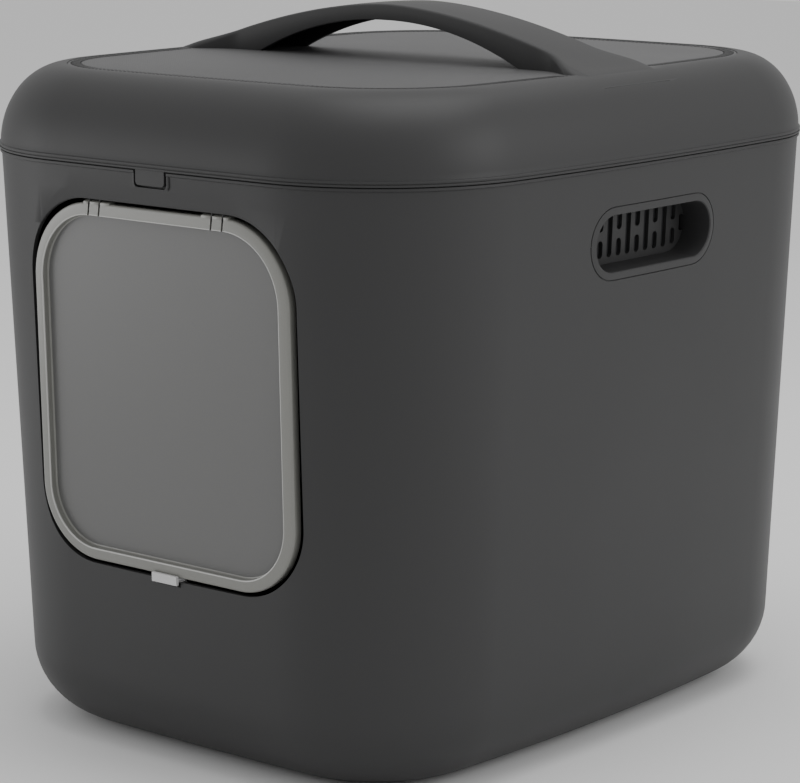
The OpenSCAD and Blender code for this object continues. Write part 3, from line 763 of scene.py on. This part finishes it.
weave = woven("woven_panel", (0.072, 0.072, 0.073), 0.55, 0.0034)
# The ribs' dark tint is painted shade for the grooves between them.
rib_painted_shade = moulded("rib_painted_shade_moulding", (0.016, 0.016, 0.0165), 0.6)
dress(panel, weave, "lid_body", "panel", "top_panel")
points, edges = [], []
for side in (1, -1):
    chain = [(x, y) for x, y in lid_flat(1, RIB_INSET, (16, 24, 24)) if y * side < -RIB_END]
    chain.sort(key=lambda q: atan2(q[0], -q[1] * side))
    edges += [(len(points) + i, len(points) + i + 1) for i in range(len(chain) - 1)]
    points += [(x * MM, y * MM, PANEL_TOP * MM) for x, y in chain]
outline_mesh = bpy.data.meshes.new("panel_ribs")
outline_mesh.from_pydata(points, edges, [])
ribs = bpy.data.objects.new("panel_ribs", outline_mesh)
bpy.context.scene.collection.objects.link(ribs)
step = ribs.modifiers.new("ribs", "NODES")
step.node_group, rib_inputs = rib_tree()
step[rib_inputs["Surface"]] = rib_painted_shade
settle(ribs)
dress(ribs, rib_painted_shade, "lid_body", "panel", "top_panel")

# ---------------------------------------------------------------- door flap
# A smoky translucent flap: a thick rounded border with a ridge along its inner edge,
# round a thin pane set back in it. Border and pane are one smoky plastic; the border
# is tinted lighter as painted light on the thick border, and the pane darker as painted
# shade of the dark inside behind it. The ridge, a thin skin over the border's inner edge,
# is tinted much lighter as a painted highlight of that edge. Its hinge bar sits in clips
# behind the wall's edge.
BORDER, PANE_Z, PANE_T, FILLET, BEAD, LOBE_R = 7.8, -0.8, 2.4, 1.1, 1.6, 5.6
CLIP_CUT, PANE_LAP = 0.7, 0.8


def border_ring(inset, z):
    return [(x, y, z) for x, y in rounded(FLAP_W - 2 * inset, -FLAP_DOWN + inset,
                                          FLAP_UP - inset, FLAP_RB - inset,
                                          FLAP_RT - inset, 20)]


section = [(0, -3.1), (0.12, -3.4), (0.4, -3.5), (BORDER - 0.4, -3.5), (BORDER, -3.1),
           (BORDER, PANE_Z - 0.4), (BORDER + 1.2, PANE_Z - 0.4), (BORDER + 1.2, PANE_Z - 0.03)]
section += [(BORDER + FILLET * (1 - sin(radians(a))), PANE_Z + FILLET * (1 - cos(radians(a))))
            for a in range(10, 91, 16)]
section += [(BORDER, 3.55), (BORDER - 0.1, 3.85), (BORDER - 0.3, 4.03), (BORDER - 0.6, 4.1)]
section += [(BEAD * (1 - sin(radians(a))), 1.5 + BEAD * cos(radians(a)))
            for a in range(0, 91, 10)]
section = section[::-1]
border = loft("flap_border", [border_ring(d, z) for d, z in section], door, closed=True)
pane_edge = [(x, y) for x, y, z in border_ring(BORDER - PANE_LAP, PANE_Z)]
pane = prism("flap_pane", pane_edge, PANE_Z - PANE_T, PANE_Z, door)
hinge = []
for side in (door, flip @ door):
    lobe = rod("lobe", LOBE_R, 38, 60, 0, 0, side, 40)
    cut(lobe, block("front_face", 30, 70, -10, 10, 3.0, 10, side))
    cut(lobe, block("pane_side", 30, 70, -10, FLAP_UP - BORDER + 0.1, -10, 10, side))
    for x in CLIP_X:
        low, high = x - CLIP_CUT, x + CLIP_CUT
        cut(lobe, block("slot", low, high, -10, 10, -10, 10, side))
        cut(border, block("slot", low, high, FLAP_UP - BORDER, 20, -10, 10, side))
    hinge.append(lobe)
    hinge.append(rod("bar", 2, 43.4, 58.3, 0, 0, side))
cut(border, block("neck_slot", -9.2, 21.8, -221.9, -217.7, -1.6, 1.0, door))
cut(border, block("head_slot", -12, 24, -218.3, -215.1, -2.6, 2.0, door))
hinge = join("flap_hinge_bar", hinge)
ridge_highlight_line = [(BORDER + 0.03, 3.3), (BORDER + 0.03, 3.7), (BORDER - 0.12, 3.98),
              (BORDER - 0.34, 4.12), (BORDER - 0.72, 4.12), (BORDER - 0.72, 3.3)]
# A thin skin over the border's inner edge that carries the painted highlight.
ridge_highlight = loft("flap_ridge_painted_highlight", [border_ring(d, z) for d, z in ridge_highlight_line], door, closed=True)
for side in (door, flip @ door):
    for x in CLIP_X:
        low, high = x - CLIP_CUT, x + CLIP_CUT
        cut(ridge_highlight, block("slot", low, high, FLAP_UP - BORDER - 1, 20, -10, 10, side))
polish(border, 30)
polish(ridge_highlight, 50)
polish(pane, 30)
polish(hinge, 30, edge=0.25)


def smoky(name, tint, roughness, clear, coat=0.0):
    stuff = moulded(name, tint, roughness, 0.05, 0.3, 1500.0, 0.5, 0.08)
    shader = stuff.node_tree.nodes["Principled BSDF"]
    shader.inputs["Transmission Weight"].default_value = clear
    shader.inputs["IOR"].default_value = 1.49
    shader.inputs["Coat Weight"].default_value = coat
    shader.inputs["Coat Roughness"].default_value = 0.2
    return stuff


# Border and pane are one smoky plastic: the border's lighter tint is painted light on the thick
# border, the pane's darker tint is painted shade of the dark inside behind it.
border_painted_light = smoky("smoky_border_painted_light", (0.22, 0.22, 0.203), 0.3, 0.12, 0.4)
# The ridge's light tint is a painted highlight of the border's inner edge.
ridge_painted_highlight = smoky("smoky_ridge_painted_highlight", (0.5, 0.5, 0.48), 0.25, 0.1, 0.6)
pane_painted_shade = smoky("smoky_pane_painted_shade", (0.135, 0.135, 0.133), 0.33, 0.1)
dress(border, border_painted_light, "flap", "flap", "door_flap")
dress(pane, pane_painted_shade, "flap", "flap", "door_flap")
dress(ridge_highlight, ridge_painted_highlight, "flap", "flap", "door_flap")
dress(hinge, border_painted_light, "flap", "flap", "door_flap")

# ---------------------------------------------------------------- flap lock
# A clear sliding tab let into the flap's lower border. Pushed sideways, its
# two plates take hold of the sill and keep the flap shut.
def recoat(material, *nodes):
    """Gives the solids of these nodes a material, and leaves their shapes alone."""
    for node in nodes:
        cad[node].data.materials.clear()
        cad[node].data.materials.append(material)


recoat(smoky("clear_tab", (0.72, 0.72, 0.72), 0.25, 0.25), "flap_lock")

# ---------------------------------------------------------------- filters
# Behind each grille a foam pad keeps smells in. A slotted cup pushed on from
# inside holds it, and pulls off for a change of pad. The lid's pins share the
# cups' plain dark moulding.
foam = moulded("filter_foam", (0.022, 0.022, 0.024), 0.8, 0.2, 1.0, 900.0, 0.3, 1.0)
plain = moulded("plain_dark_moulding", (0.045, 0.045, 0.046), 0.5)
recoat(foam, "filter_pad_right", "filter_pad_left")
recoat(plain, "filter_cover_right", "filter_cover_left", "lid_pin_right", "lid_pin_left")

# ---------------------------------------------------------------- studio
# Plain pale floor, soft light from above and from the right, and a weaker low
# fill on the left, with the camera at the photograph's viewing angle.
floor_mesh = bpy.data.meshes.new("studio_floor")
floor_mesh.from_pydata([(-6, -6, 0), (6, -6, 0), (6, 6, 0), (-6, 6, 0)], [], [(0, 1, 2, 3)])
floor = bpy.data.objects.new("studio_floor", floor_mesh)
bpy.context.scene.collection.objects.link(floor)
paper = bpy.data.materials.new("pale_paper")
paper.use_nodes = True
paper_shader = paper.node_tree.nodes["Principled BSDF"]
paper_shader.inputs["Base Color"].default_value = (0.86, 0.86, 0.86, 1)
paper_shader.inputs["Roughness"].default_value = 0.9
floor_mesh.materials.append(paper)

world = bpy.data.worlds.new("soft_room")
world.use_nodes = True
backdrop = world.node_tree.nodes["Background"]
backdrop.inputs["Color"].default_value = (1, 1, 1, 1)
backdrop.inputs["Strength"].default_value = 0.7
bpy.context.scene.world = world


def softbox(name, place, aim, size, power):
    lamp = bpy.data.lights.new(name, "AREA")
    lamp.shape, lamp.size, lamp.energy = "SQUARE", size, power
    holder = bpy.data.objects.new(name, lamp)
    holder.location = place
    holder.rotation_euler = (Vector(aim) - Vector(place)).to_track_quat("-Z", "Y").to_euler()
    bpy.context.scene.collection.objects.link(holder)


softbox("overhead", (0.2, 0.2, 2.2), (0, 0, 0.3), 1.6, 18)
softbox("right_key", (2.2, 0.6, 1.2), (0, 0, 0.25), 1.4, 16)
softbox("left_fill", (-1.25, -1.05, 0.3), (-0.05, -0.2, 0.22), 0.8, 4.5)

lens = bpy.data.cameras.new("photo_view")
lens.sensor_width, lens.sensor_fit, lens.lens = 36.0, "HORIZONTAL", 135.457
camera = bpy.data.objects.new("photo_view", lens)
camera.location = (1.24797, -1.50596, 0.58822)
aim = Vector((0.075138, -0.098875, 0.22557))
camera.rotation_euler = (aim - camera.location).to_track_quat("-Z", "Y").to_euler()
bpy.context.scene.collection.objects.link(camera)
bpy.context.scene.camera = camera
